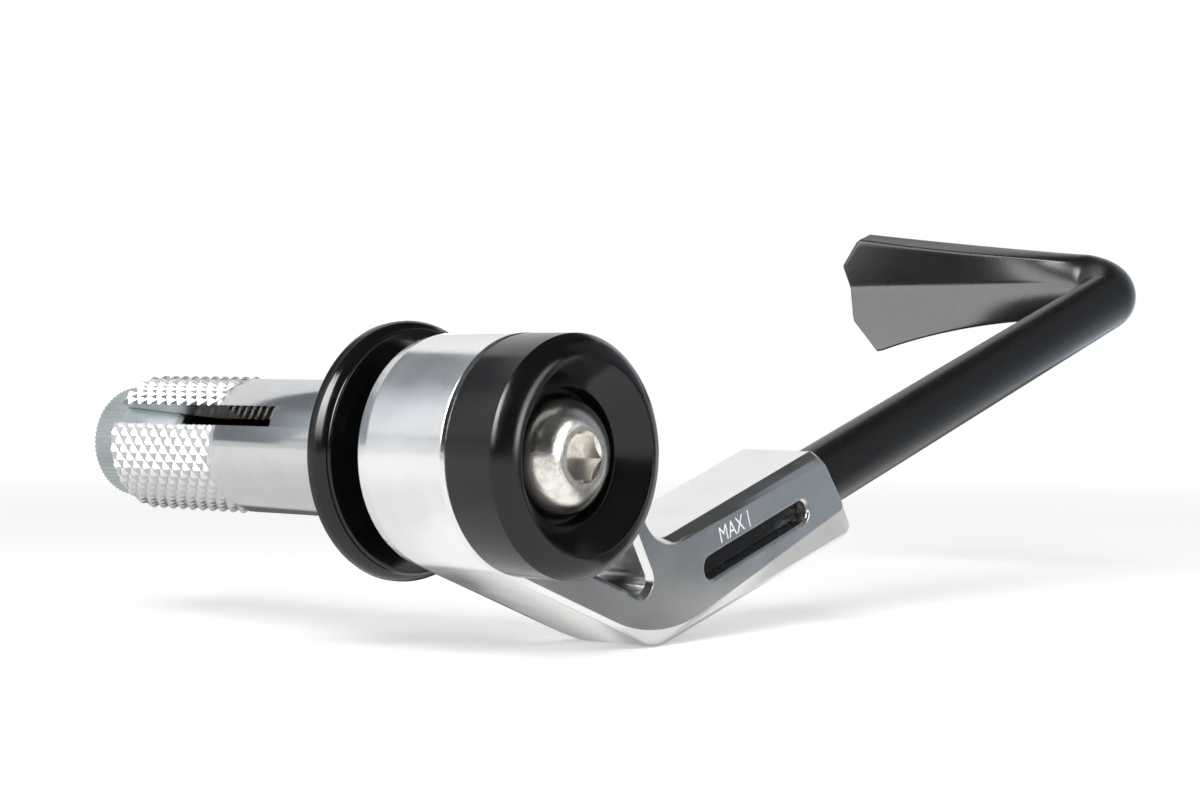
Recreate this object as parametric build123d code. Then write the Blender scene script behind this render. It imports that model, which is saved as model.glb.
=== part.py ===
from build123d import *
import os
from math import atan2, cos, hypot, radians, sin, tan

os.makedirs("parts", exist_ok=True)

# All sizes in millimetres.
# X runs outward along the handlebar, Y forward, Z up.
# The origin is the centre of the bar-end seat.

# Stations along the bar axis
hub_end = 6.55
arm_front = 20.06
cap_edge = 26.9
lip_x = 28.9

# Bar flange
flange_r = 15.05
flange_band = 1.65
flange_bevel = 0.8
step_rise = 0.35
step_r = 14.1
hub_r = 9.6
boss_r = 7.0
boss_end = 19.4
seat_depth = 4.5

# Clamp bolt, M8 button head
bolt_r = 4.0
bolt_length = 70.0
head_r = 7.0
head_height = 4.4
head_rim = 0.4
head_flat_r = 3.45
dome_rise = 3.0
dome_r = 5.8
hex_across = 5.0
hex_depth = 2.6
hex_turn = -4.0
head_seat = 23.67
bolt_hole_r = 4.25
thread_gap = 0.03
tip_chamfer = 0.9

# End cap
cap_r = 13.5
cap_back_chamfer = 0.25
nose_x = 28.15
nose_r = 12.4
lip_r = 10.75
dish_r = 7.6

# Expander sleeve
sleeve_r = 8.1
knurl_r = 8.37
knurl_start = -24.4
knurl_runout = 1.6
jaw_end = -43.7
jaw_chamfer = 0.35
sleeve_bore_r = 4.6
spigot_r = 7.2
sleeve_sink = 0.6
sink_gap = 0.15
slit_width = 2.7
slit_end = -14.6
slit_count = 3
slit_angle = 152.0
fit_gap = 0.05

# Cone nut
nut_tail = -49.0
nut_r = 6.85
nut_small_x = -34.7
nut_small_r = 5.45
nut_chamfer = 0.5
cone_gap = 0.08

# Rod line, which the arm's socket and its slot also follow
rod_r = 4.15
rod_x = 14.0
rod_tilt = 19.07
rod_drop = -23.65
rod_tail = 22.6
rod_corner = 136.3
socket_gap = 0.06
socket_end = 21.6

# Mounting arm, with its widths below and above the rod line
ring_r = 13.55
low_dir = -20.8
right_dir = 120.0
right_foot = 30.0
width_at = 30.0
arm_low = 6.3
arm_low_tilt = 17.6
elbow_r = 7.0
arm_high = 6.0
notch_r = 4.5
end_at = 52.6
end_slant = 18.0
end_r = 1.4
arm_side_back = 8.1
arm_side_front = 18.6
arm_bevel = 19.55
back_break = 0.9
back_ring_r = 13.3
bevel_break = 0.8
face_ring_r = 12.93
face_low = 3.96
face_low_tilt = 22.35
face_elbow_r = 22.0
face_high = 4.85
face_high_tilt = 17.6
window_low = 8.75
window_right = 10.6
window_r = 1.6
window_chamfer = 0.7
slot_from = 24.4
slot_to = 45.6
slot_width = 2.8
slot_chamfer = 0.3

# Set screws, M3 by 3
screw_r = 1.5
screw_length = 3.0
screw_hex = 1.5
screw_hex_depth = 1.4
screw_spots = (31.0, 43.0)
screw_tip_gap = 0.05
screw_point = 0.35

# Lever guard
bend_r = 5.0
bend_half = 5.0
bend_rise = 1.0
bend_steps = 4
blade_mid = -13.0
blade_end = -33.5
top_cut_x = 5.9
top_cut_n = 5.6
low_cut_x = 5.8
low_cut_n = 6.7

# Blade sections as (above the rod line, ahead of it), and the places of their corners on the bend's end
end_points = ((12.1, -2.6), (2.4, 0.4), (-9.2, -2.6), (-9.2, -5.3), (2.6, -3.25), (12.1, -5.45))
mid_points = ((8.75, -0.4), (2.2, 1.9), (-4.3, -0.4), (-4.3, -4.5), (2.8, -3.3), (8.75, -4.6))
start_angles = (25.0, 90.0, 155.0, 205.0, 292.0, 335.0)


def turned(outline):
    """A solid of revolution about the bar axis from a closed (x, radius) outline."""
    return revolve(make_face(outline.edges()), Axis.X)


def side_plane(x):
    """The plane across the bar axis at x, with local axes Y and Z."""
    return Plane(origin=(x, 0, 0), x_dir=(0, 1, 0), z_dir=(1, 0, 0))


def spot(along, above):
    """The (Y, Z) place at a distance along the rod line and above it."""
    tilt = radians(rod_tilt)
    rise = rod_drop + above
    return (along * cos(tilt) - rise * sin(tilt), along * sin(tilt) + rise * cos(tilt))


def heading(angle):
    return (cos(radians(angle)), sin(radians(angle)))


def corner(p, a, q, b, r):
    """Start, middle and end of the arc of radius r that joins two lines (point, heading)."""
    ua = heading(a)
    ub = heading(b)
    cross = ua[0] * ub[1] - ua[1] * ub[0]
    t = ((q[0] - p[0]) * ub[1] - (q[1] - p[1]) * ub[0]) / cross
    tip = (p[0] + t * ua[0], p[1] + t * ua[1])
    half = abs(atan2(cross, ua[0] * ub[0] + ua[1] * ub[1])) / 2
    reach = r * tan(half)
    inward = (ub[0] - ua[0], ub[1] - ua[1])
    size = hypot(inward[0], inward[1])
    sag = r / cos(half) - r
    start = (tip[0] - ua[0] * reach, tip[1] - ua[1] * reach)
    middle = (tip[0] + inward[0] / size * sag, tip[1] + inward[1] / size * sag)
    end = (tip[0] + ub[0] * reach, tip[1] + ub[1] * reach)
    return start, middle, end


def arm_level(x, ring, low, low_tilt, elbow_radius, high, high_tilt):
    """The arm's outline at x: collar arc, lower edge, elbow, slanted end, upper edge and notch."""
    shrink = arm_high - high
    foot_low = (ring * sin(radians(low_dir)), -ring * cos(radians(low_dir)))
    foot_right = (ring * cos(radians(right_foot)), ring * sin(radians(right_foot)))
    far_side = (right_foot + low_dir + 270) / 2
    top = (ring * cos(radians(far_side)), ring * sin(radians(far_side)))
    low_line = (spot(width_at, -low), low_tilt)
    end_line = (spot(end_at - shrink / 2, 0), rod_tilt + 90 + end_slant)
    high_line = (spot(width_at, high), high_tilt + 180)
    right_line = (foot_right, right_dir)
    elbow = corner(foot_low, low_dir, *low_line, elbow_radius)
    low_end = corner(*low_line, *end_line, end_r - shrink / 2)
    high_end = corner(*end_line, *high_line, end_r - shrink / 2)
    notch = corner(*high_line, *right_line, notch_r + shrink)
    edges = Line(foot_low, elbow[0]) + ThreePointArc(*elbow)
    edges += Line(elbow[2], low_end[0]) + ThreePointArc(*low_end)
    edges += Line(low_end[2], high_end[0]) + ThreePointArc(*high_end)
    edges += Line(high_end[2], notch[0]) + ThreePointArc(*notch)
    edges += Line(notch[2], foot_right) + ThreePointArc(foot_right, top, foot_low)
    return side_plane(x) * make_face(edges.edges())


def window_face(x, grow):
    """The window's corner between the lower bar and the right bar, open towards the collar."""
    low = window_low + grow
    right = window_right + grow
    foot_low = (low * sin(radians(low_dir)), -low * cos(radians(low_dir)))
    foot_right = (right * cos(radians(right_foot)), right * sin(radians(right_foot)))
    bend = corner(foot_low, low_dir, foot_right, right_dir, window_r + grow)
    edges = Line(foot_low, bend[0]) + ThreePointArc(*bend)
    edges += Line(bend[2], foot_right) + Line(foot_right, foot_low)
    return side_plane(x) * make_face(edges.edges())


def bar(x_from, x_to, r):
    """A plain round bar on the bar axis."""
    return side_plane(x_from) * Cylinder(r, x_to - x_from, align=(Align.CENTER, Align.CENTER, Align.MIN))


def rod_plane(along, x=rod_x):
    """The plane across the rod line, with the outward bar direction as its local X."""
    y, z = spot(along, 0)
    across = heading(rod_tilt)
    return Plane(origin=(x, y, z), x_dir=(1, 0, 0), z_dir=(0, across[0], across[1]))


# Bar flange: seat rim with a raised face, hub and the boss that carries the arm
flange_face = flange_band + flange_bevel
flange_line = Polyline(
    (seat_depth, bolt_hole_r),
    (seat_depth, spigot_r + fit_gap),
    (sleeve_sink, spigot_r + fit_gap),
    (sleeve_sink, sleeve_r + sink_gap),
    (0, sleeve_r + sink_gap),
    (0, flange_r),
    (flange_band, flange_r),
    (flange_face, flange_r - flange_bevel),
    (flange_face, step_r),
    (flange_face + step_rise, step_r),
    (flange_face + step_rise, hub_r),
    (hub_end, hub_r),
    (hub_end, boss_r),
    (boss_end, boss_r),
    (boss_end, bolt_hole_r),
    close=True,
)
bar_flange = turned(flange_line)

# Expander sleeve: shank, knurled jaws, tapered mouth and slits
cone_slope = (nut_r - nut_small_r) / (nut_small_x - jaw_end)
mouth_r = nut_r + cone_gap
mouth_end = jaw_end + (mouth_r - sleeve_bore_r) / cone_slope
sleeve_line = Polyline(
    (jaw_end, mouth_r),
    (jaw_end, knurl_r - jaw_chamfer),
    (jaw_end + jaw_chamfer, knurl_r),
    (knurl_start - knurl_runout, knurl_r),
    (knurl_start, sleeve_r),
    (0, sleeve_r),
    (sleeve_sink, sleeve_r - sink_gap),
    (sleeve_sink, spigot_r),
    (seat_depth, spigot_r),
    (seat_depth, sleeve_bore_r),
    (mouth_end, sleeve_bore_r),
    (jaw_end, mouth_r),
)
expander_sleeve = turned(sleeve_line)
slit_length = slit_end - jaw_end
slit = Box(slit_length, 2 * knurl_r, slit_width, align=(Align.MIN, Align.MIN, Align.CENTER))
for turn in range(slit_count):
    angle = slit_angle + turn * 360 / slit_count
    expander_sleeve -= Rot(X=angle) * Pos(X=jaw_end) * slit

# Cone nut: straight tail, cone and threaded hole
nut_line = Polyline(
    (nut_tail, bolt_r + thread_gap),
    (nut_tail, nut_r - nut_chamfer),
    (nut_tail + nut_chamfer, nut_r),
    (jaw_end, nut_r),
    (nut_small_x - nut_chamfer, nut_small_r + nut_chamfer * cone_slope),
    (nut_small_x, nut_small_r - nut_chamfer),
    (nut_small_x, bolt_r + thread_gap),
    (nut_tail, bolt_r + thread_gap),
)
cone_nut = turned(nut_line)

# Clamp bolt: domed head with a hexagon socket
head_top = head_seat + head_height
bolt_tip = head_seat - bolt_length
bolt_line = Polyline(
    (bolt_tip, 0),
    (bolt_tip, bolt_r - tip_chamfer),
    (bolt_tip + tip_chamfer, bolt_r),
    (head_seat, bolt_r),
    (head_seat, head_r),
    (head_seat + head_rim, head_r),
)
bolt_line += ThreePointArc(
    (head_seat + head_rim, head_r),
    (head_seat + dome_rise, dome_r),
    (head_top, head_flat_r),
)
bolt_line += Polyline((head_top, head_flat_r), (head_top, 0), (bolt_tip, 0))
clamp_bolt = turned(bolt_line)
hex_corner_r = hex_across / 2 / cos(radians(30))
hex_face = RegularPolygon(hex_corner_r, 6, rotation=hex_turn)
clamp_bolt -= extrude(side_plane(head_top) * hex_face, -hex_depth)
lead = hex_corner_r - hex_across / 2
lead_line = Polyline(
    (head_top, 0),
    (head_top, hex_corner_r),
    (head_top - lead, hex_across / 2),
    (head_top - lead, 0),
    (head_top, 0),
)
clamp_bolt -= turned(lead_line)

# End cap: turned cup with a convex nose and a dished face
dish_x = lip_x - (lip_r - dish_r)
cap_line = Polyline(
    (head_seat, bolt_hole_r),
    (arm_front, bolt_hole_r),
    (arm_front, cap_r - cap_back_chamfer),
    (arm_front + cap_back_chamfer, cap_r),
    (cap_edge, cap_r),
)
cap_line += ThreePointArc((cap_edge, cap_r), (nose_x, nose_r), (lip_x, lip_r))
cap_line += Polyline(
    (lip_x, lip_r),
    (dish_x, dish_r),
    (head_seat, dish_r),
    (head_seat, bolt_hole_r),
)
end_cap = turned(cap_line)

# Mounting arm: one ruled body through five outlines
mounting_arm = loft(
    [
        arm_level(
            hub_end, back_ring_r, arm_low - back_break, arm_low_tilt, elbow_r, arm_high - back_break, rod_tilt
        ),
        arm_level(arm_side_back, ring_r, arm_low, arm_low_tilt, elbow_r, arm_high, rod_tilt),
        arm_level(arm_side_front, ring_r, arm_low, arm_low_tilt, elbow_r, arm_high, rod_tilt),
        arm_level(
            arm_bevel, ring_r, arm_low - bevel_break, arm_low_tilt, elbow_r, arm_high - bevel_break, rod_tilt
        ),
        arm_level(arm_front, face_ring_r, face_low, face_low_tilt, face_elbow_r, face_high, face_high_tilt),
    ],
    ruled=True,
)
mounting_arm -= bar(hub_end, arm_front, boss_r + fit_gap)
thickness = arm_front - hub_end
window = extrude(window_face(hub_end, 0), thickness)
window += loft([window_face(arm_front - window_chamfer, 0), window_face(arm_front, window_chamfer)], ruled=True)
mounting_arm -= window - bar(hub_end, arm_front, ring_r)
socket_depth = end_at + rod_r * 2 - socket_end
socket = rod_plane(socket_end) * Cylinder(
    rod_r + socket_gap, socket_depth, align=(Align.CENTER, Align.CENTER, Align.MIN)
)
mounting_arm -= socket
slot_mid = spot((slot_from + slot_to) / 2, 0)
slot_shape = Pos(*slot_mid) * Rot(Z=rod_tilt) * SlotOverall(slot_to - slot_from, slot_width)
mounting_arm -= extrude(side_plane(rod_x) * slot_shape, arm_front - rod_x)
slot_mouth = Pos(*slot_mid) * Rot(Z=rod_tilt) * SlotOverall(
    slot_to - slot_from + 2 * slot_chamfer, slot_width + 2 * slot_chamfer
)
mounting_arm -= extrude(side_plane(arm_front) * slot_mouth, -slot_chamfer, taper=45)
screw_tip_x = rod_x - rod_r - screw_tip_gap
for along in screw_spots:
    y, z = spot(along, 0)
    mounting_arm -= Pos(0, y, z) * bar(hub_end, rod_x, screw_r + thread_gap)

# Set screws: hexagon-socket grub screws from the arm's inner side
screw_line = Polyline(
    (screw_tip_x, 0),
    (screw_tip_x, screw_r - screw_point),
    (screw_tip_x - screw_point, screw_r),
    (screw_tip_x - screw_length, screw_r),
    (screw_tip_x - screw_length, 0),
    (screw_tip_x, 0),
)
screw = turned(screw_line)
screw_key = RegularPolygon(screw_hex / 2 / cos(radians(30)), 6)
screw -= extrude(side_plane(screw_tip_x - screw_length) * screw_key, screw_hex_depth)
set_screws = Part() + [Pos(0, *spot(along, 0)) * screw for along in screw_spots]

# Lever guard: round rod, bend that grows taller, and a flared blade with a crease
straight_end = rod_corner - bend_r
rod = rod_plane(rod_tail) * Cylinder(
    rod_r, straight_end - rod_tail, align=(Align.CENTER, Align.CENTER, Align.MIN)
)
rod = chamfer(rod.faces().sort_by(Axis.Y)[0].edges(), screw_point)


def bend_plane(angle, rise):
    """The section plane at an angle round the bend, raised along the blade's height."""
    y, z = spot(straight_end + bend_r * sin(radians(angle)), rise)
    x = rod_x - bend_r * (1 - cos(radians(angle)))
    ahead = heading(rod_tilt)
    travel = (-sin(radians(angle)), cos(radians(angle)) * ahead[0], cos(radians(angle)) * ahead[1])
    return Plane(origin=(x, y, z), x_dir=(0, -ahead[1], ahead[0]), z_dir=travel)


bend_sections = []
for step in range(bend_steps + 1):
    share = step / bend_steps
    grown = rod_r + (bend_half - rod_r) * share
    bend_sections.append(bend_plane(90 * share, bend_rise * share) * Ellipse(grown, rod_r))
bend = loft(bend_sections)

start_plane = bend_plane(90, bend_rise)
start_edges = Curve()
for index, angle in enumerate(start_angles):
    arc_angle = (start_angles[(index + 1) % len(start_angles)] - angle) % 360
    start_edges += EllipticalCenterArc((0, 0), bend_half, rod_r, angle, arc_size=arc_angle)


def blade_section(x, points):
    """A six-sided blade section across the bar direction at x."""
    plane = Plane(origin=(x, *spot(rod_corner, 0)), x_dir=start_plane.x_dir, z_dir=start_plane.z_dir)
    return plane * make_face(Polyline(*points, close=True).edges())


start_face = start_plane * make_face(start_edges.edges())
blade = loft([start_face, blade_section(blade_mid, mid_points), blade_section(blade_end, end_points)])
lever_guard = rod + bend + blade


def end_cut(height, cut_x, cut_n):
    """A wedge that takes one corner off the blade's free end, across its whole depth."""
    across = heading(rod_tilt)
    origin = (blade_end, *spot(rod_corner, 0))
    plane = Plane(origin=origin, x_dir=(1, 0, 0), z_dir=(0, -across[0], -across[1]))
    wedge = Polyline(
        (2 * cut_x, height + cut_n),
        (-cut_x, height - 2 * cut_n),
        (-cut_x, height + cut_n),
        close=True,
    )
    return extrude(plane * make_face(wedge.edges()), 4 * rod_r, both=True)


lever_guard -= end_cut(end_points[0][0], top_cut_x, top_cut_n)
lever_guard -= end_cut(end_points[2][0], low_cut_x, -low_cut_n)

nodes = {
    "bar_flange": bar_flange,
    "expander_sleeve": expander_sleeve,
    "cone_nut": cone_nut,
    "clamp_bolt": clamp_bolt,
    "end_cap": end_cap,
    "mounting_arm": mounting_arm,
    "set_screws": set_screws,
    "lever_guard": lever_guard,
}
for name, solid in nodes.items():
    export_step(solid, f"parts/{name}.step")
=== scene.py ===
"""Looks of a brake lever guard with an expanding bar-end clamp."""

import math

import bmesh
import bpy
from bpy.props import FloatProperty, FloatVectorProperty, IntProperty, PointerProperty, StringProperty
from mathutils import Matrix, Vector


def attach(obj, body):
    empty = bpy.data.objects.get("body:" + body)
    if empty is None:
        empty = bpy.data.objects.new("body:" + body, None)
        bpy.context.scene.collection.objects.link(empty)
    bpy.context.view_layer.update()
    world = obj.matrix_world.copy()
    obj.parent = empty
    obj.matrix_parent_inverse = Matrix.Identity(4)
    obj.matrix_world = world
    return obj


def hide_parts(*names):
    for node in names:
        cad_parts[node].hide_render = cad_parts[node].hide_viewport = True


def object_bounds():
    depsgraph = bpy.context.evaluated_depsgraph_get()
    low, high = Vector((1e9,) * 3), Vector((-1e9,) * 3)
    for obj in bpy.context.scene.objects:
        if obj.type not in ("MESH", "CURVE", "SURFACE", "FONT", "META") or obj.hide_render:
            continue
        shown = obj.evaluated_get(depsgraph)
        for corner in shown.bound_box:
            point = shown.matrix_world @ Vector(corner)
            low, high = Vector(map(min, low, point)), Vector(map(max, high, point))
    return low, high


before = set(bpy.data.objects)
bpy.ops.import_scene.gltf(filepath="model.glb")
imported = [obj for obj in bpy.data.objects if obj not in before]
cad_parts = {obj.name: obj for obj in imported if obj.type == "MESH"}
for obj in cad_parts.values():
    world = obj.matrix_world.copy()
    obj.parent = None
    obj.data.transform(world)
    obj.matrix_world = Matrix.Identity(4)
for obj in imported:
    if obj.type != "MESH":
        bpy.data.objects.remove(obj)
cad_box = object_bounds()

bl_info = {
    "name": "Brake lever guard",
    "version": (1, 0, 0),
    "blender": (4, 5, 0),
    "location": "View3D > Sidebar > Lever guard",
    "description": "Dresses the packed brake lever guard: turned, knurled, milled and bent pieces",
    "category": "Add Mesh",
}

MM = 0.001
TURNS = 192
ROD_TILT = 19.07
ROD_DROP = -23.65


# User settings

class LeverGuardSizes(bpy.types.PropertyGroup):
    edge_break: FloatProperty(
        name="Edge break", description="Small rounding on milled edges",
        default=0.15 * MM, unit="LENGTH")
    knurl_count: IntProperty(
        name="Knurl count", description="Diamonds round the jaws", default=25)
    knurl_pitch: FloatProperty(
        name="Knurl pitch", description="Diamond length along the jaws",
        default=1.9 * MM, unit="LENGTH")
    knurl_depth: FloatProperty(
        name="Knurl depth", description="Depth of the grooves between the diamonds",
        default=0.42 * MM, unit="LENGTH")
    thread_pitch: FloatProperty(
        name="Thread pitch", description="Pitch of the clamp bolt",
        default=1.25 * MM, unit="LENGTH")
    thread_depth: FloatProperty(
        name="Thread depth", description="Depth of the bolt's thread",
        default=0.6 * MM, unit="LENGTH")
    rib_count: IntProperty(
        name="Tail ribs", description="Fine ribs round the nut's tail", default=72)
    rib_depth: FloatProperty(
        name="Rib depth", description="Depth of the ribs on the nut's tail",
        default=0.16 * MM, unit="LENGTH")
    mark_height: FloatProperty(
        name="Mark height", description="Height of the letters beside the slot",
        default=2.0 * MM, unit="LENGTH")
    mark_word: StringProperty(
        name="Mark", description="Word printed at the longest setting", default="MAX")


class LeverGuardColours(bpy.types.PropertyGroup):
    gloss_black: FloatVectorProperty(
        name="Flange black", description="Polished black anodising",
        default=(0.002, 0.002, 0.0023), size=3, subtype="COLOR")
    satin_black: FloatVectorProperty(
        name="Cap black", description="Fine-turned black anodising",
        default=(0.0025, 0.0025, 0.0028), size=3, subtype="COLOR")
    guard_black: FloatVectorProperty(
        name="Guard black", description="Blasted black anodising",
        default=(0.005, 0.005, 0.0052), size=3, subtype="COLOR")
    turned_bright: FloatVectorProperty(
        name="Turned aluminium", description="Bright turned aluminium of the sleeve",
        default=(0.66, 0.67, 0.68), size=3, subtype="COLOR")
    milled_bright: FloatVectorProperty(
        name="Milled aluminium", description="Clear anodised aluminium of the arm",
        default=(0.90, 0.91, 0.92), size=3, subtype="COLOR")
    stainless: FloatVectorProperty(
        name="Stainless steel", description="Cold-formed stainless of the bolt",
        default=(0.88, 0.85, 0.80), size=3, subtype="COLOR")
    nut_grey: FloatVectorProperty(
        name="Nut grey", description="Zinc-plated steel of the cone nut",
        default=(0.42, 0.47, 0.48), size=3, subtype="COLOR")
    screw_black: FloatVectorProperty(
        name="Screw black", description="Blackened steel of the set screws",
        default=(0.03, 0.03, 0.032), size=3, subtype="COLOR")
    mark_white: FloatVectorProperty(
        name="Mark white", description="Printed letters",
        default=(0.86, 0.87, 0.88), size=3, subtype="COLOR")


class LeverGuardStage(bpy.types.PropertyGroup):
    lens: FloatProperty(
        name="Lens", description="Focal length on a 36 mm sensor", default=78.0)
    place: FloatVectorProperty(
        name="Camera place", description="Where the camera stands",
        default=(215.87 * MM, -209.38 * MM, 8.52 * MM), size=3, subtype="TRANSLATION")
    floor: FloatVectorProperty(
        name="Floor", description="Colour of the table top",
        default=(0.86, 0.86, 0.86), size=3, subtype="COLOR")
    key_power: FloatProperty(
        name="Key power", description="Power of the soft light in front",
        default=3.4, unit="POWER")
    fill_power: FloatProperty(
        name="Fill power", description="Power of the soft light behind at the right",
        default=0.9, unit="POWER")
    sky: FloatProperty(
        name="Surround", description="Strength of the even light from all sides", default=0.45)


# Mesh helpers, in millimetres until the mesh is made

def part_way(value, start, end):
    """How far a value lies on the way from start to end, held between 0 and 1."""
    return min(1.0, max(0.0, (value - start) / (end - start)))


def rounded(points, radii, steps=5):
    """A closed (x, r) outline whose numbered corners are rounded."""
    result = []
    for i, point in enumerate(points):
        here = Vector(point)
        radius = radii.get(i, 0.0)
        if radius == 0.0:
            result.append((here.x, here.y))
            continue
        back = (Vector(points[i - 1]) - here).normalized()
        ahead = (Vector(points[(i + 1) % len(points)]) - here).normalized()
        half = back.angle(ahead) / 2
        reach = radius / math.tan(half)
        middle = here + (back + ahead).normalized() * (radius / math.sin(half))
        start = here + back * reach - middle
        end = here + ahead * reach - middle
        sweep = start.angle_signed(end)
        for k in range(steps + 1):
            turn = Matrix.Rotation(-sweep * k / steps, 2)
            spot = middle + turn @ start
            result.append((spot.x, spot.y))
    return result


def arc_points(a, b, c, steps):
    """Points on the arc from a through b to c, both ends included."""
    ax, ay = a
    bx, by = b
    cx, cy = c
    d = 2 * (ax * (by - cy) + bx * (cy - ay) + cx * (ay - by))
    ux = ((ax * ax + ay * ay) * (by - cy) + (bx * bx + by * by) * (cy - ay) + (cx * cx + cy * cy) * (ay - by)) / d
    uy = ((ax * ax + ay * ay) * (cx - bx) + (bx * bx + by * by) * (ax - cx) + (cx * cx + cy * cy) * (bx - ax)) / d
    r = math.hypot(ax - ux, ay - uy)
    first = math.atan2(ay - uy, ax - ux)
    last = math.atan2(cy - uy, cx - ux)
    sweep = (last - first + math.pi) % (2 * math.pi) - math.pi
    angles = [first + sweep * k / steps for k in range(steps + 1)]
    return [(ux + r * math.cos(t), uy + r * math.sin(t)) for t in angles]


def finish_mesh(name, verts, faces, crease=32.0):
    """An object from points in millimetres, shaded smooth up to the crease angle."""
    mesh = bpy.data.meshes.new(name)
    mesh.from_pydata([(x * MM, y * MM, z * MM) for x, y, z in verts], [], faces)
    shape = bmesh.new()
    shape.from_mesh(mesh)
    bmesh.ops.recalc_face_normals(shape, faces=shape.faces)
    shape.to_mesh(mesh)
    shape.free()
    mesh.shade_smooth()
    mesh.set_sharp_from_angle(angle=math.radians(crease))
    piece = bpy.data.objects.new(name, mesh)
    bpy.context.scene.collection.objects.link(piece)
    return piece


def turn_piece(name, outline, turns=TURNS, relief=None, valley=None, crease=32.0):
    """A closed (x, r) outline turned about the bar axis. relief(k, x, r, angle) gives the cut radius."""
    count = len(outline)
    verts = []
    for j in range(turns):
        angle = 2 * math.pi * j / turns
        for k, (x, r) in enumerate(outline):
            reach = relief(k, x, r, angle) if relief else r
            verts.append((x, reach * math.cos(angle), reach * math.sin(angle)))
    faces = []
    for j in range(turns):
        a = j * count
        b = (j + 1) % turns * count
        for k in range(count):
            m = (k + 1) % count
            side = valley(k, j) if valley else None
            if side is None:
                faces.append((a + k, a + m, b + m, b + k))
            elif side:
                faces.append((a + k, a + m, b + m))
                faces.append((a + k, b + m, b + k))
            else:
                faces.append((a + k, a + m, b + k))
                faces.append((a + m, b + m, b + k))
    return finish_mesh(name, verts, faces, crease)


def cut_away(piece, cutters, crease=32.0):
    """Cuts the cutters out of the piece and deletes them."""
    for cutter in cutters:
        step = piece.modifiers.new("cut", "BOOLEAN")
        step.operation = "DIFFERENCE"
        step.solver = "EXACT"
        step.object = cutter
    shown = piece.evaluated_get(bpy.context.evaluated_depsgraph_get())
    mesh = bpy.data.meshes.new_from_object(shown)
    piece.modifiers.clear()
    piece.data = mesh
    mesh.set_sharp_from_angle(angle=math.radians(crease))
    for cutter in cutters:
        bpy.data.objects.remove(cutter)


def clean_copy(node, name, crease=9.0):
    """A copy of a solid with joined corners, its flat faces shaded flat."""
    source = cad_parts[node]
    shape = bmesh.new()
    shape.from_mesh(source.data)
    bmesh.ops.transform(shape, matrix=source.matrix_world, verts=shape.verts)
    bmesh.ops.remove_doubles(shape, verts=shape.verts, dist=0.002 * MM)
    bmesh.ops.dissolve_degenerate(shape, edges=shape.edges, dist=0.002 * MM)
    bmesh.ops.dissolve_limit(
        shape, angle_limit=math.radians(0.4), verts=shape.verts, edges=shape.edges, use_dissolve_boundaries=False)
    mesh = bpy.data.meshes.new(name)
    shape.to_mesh(mesh)
    shape.free()
    mesh.shade_smooth()
    mesh.set_sharp_from_angle(angle=math.radians(crease))
    piece = bpy.data.objects.new(name, mesh)
    bpy.context.scene.collection.objects.link(piece)
    even = piece.modifiers.new("flat_faces", "WEIGHTED_NORMAL")
    even.keep_sharp = True
    even.weight = 100
    return piece


def place(piece, material, body, slot, *nodes):
    """Finish, body and the solids that the piece stands for; the slot is not used."""
    piece.data.materials.clear()
    piece.data.materials.append(material)
    if nodes:
        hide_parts(*nodes)
    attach(piece, body)


# Material helpers

def start_material(name, colour, metal, rough):
    material = bpy.data.materials.new(name)
    material.use_nodes = True
    tree = material.node_tree
    shader = tree.nodes["Principled BSDF"]
    shader.inputs["Base Color"].default_value = (*colour, 1.0)
    shader.inputs["Metallic"].default_value = metal
    shader.inputs["Roughness"].default_value = rough
    return material, tree, shader


def object_place(tree):
    return tree.nodes.new("ShaderNodeTexCoord").outputs["Object"]


def turned_place(tree):
    """Coordinates (along the axis, distance from it) for tool marks on turned faces."""
    split = tree.nodes.new("ShaderNodeSeparateXYZ")
    tree.links.new(object_place(tree), split.inputs[0])
    flat = tree.nodes.new("ShaderNodeCombineXYZ")
    tree.links.new(split.outputs["Y"], flat.inputs["Y"])
    tree.links.new(split.outputs["Z"], flat.inputs["Z"])
    reach = tree.nodes.new("ShaderNodeVectorMath")
    reach.operation = "LENGTH"
    tree.links.new(flat.outputs[0], reach.inputs[0])
    marks = tree.nodes.new("ShaderNodeCombineXYZ")
    tree.links.new(split.outputs["X"], marks.inputs["X"])
    tree.links.new(reach.outputs["Value"], marks.inputs["Y"])
    return marks.outputs[0]


def noise(tree, where, scale, detail=3.0, roughness=0.55):
    texture = tree.nodes.new("ShaderNodeTexNoise")
    texture.inputs["Scale"].default_value = scale
    texture.inputs["Detail"].default_value = detail
    texture.inputs["Roughness"].default_value = roughness
    tree.links.new(where, texture.inputs["Vector"])
    return texture.outputs["Fac"]


def spread(tree, value, low, high, from_low=0.35, from_high=0.65):
    """A noise value stretched to a range of roughness or brightness."""
    scale = tree.nodes.new("ShaderNodeMapRange")
    scale.inputs["From Min"].default_value = from_low
    scale.inputs["From Max"].default_value = from_high
    scale.inputs["To Min"].default_value = low
    scale.inputs["To Max"].default_value = high
    tree.links.new(value, scale.inputs["Value"])
    return scale.outputs["Result"]


def tint(tree, value, dark, light, from_low=0.35, from_high=0.65):
    """Two colours mixed by a noise value."""
    ramp = tree.nodes.new("ShaderNodeValToRGB")
    ramp.color_ramp.elements[0].position = from_low
    ramp.color_ramp.elements[0].color = (*dark, 1.0)
    ramp.color_ramp.elements[1].position = from_high
    ramp.color_ramp.elements[1].color = (*light, 1.0)
    tree.links.new(value, ramp.inputs["Fac"])
    return ramp.outputs["Color"]


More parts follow.
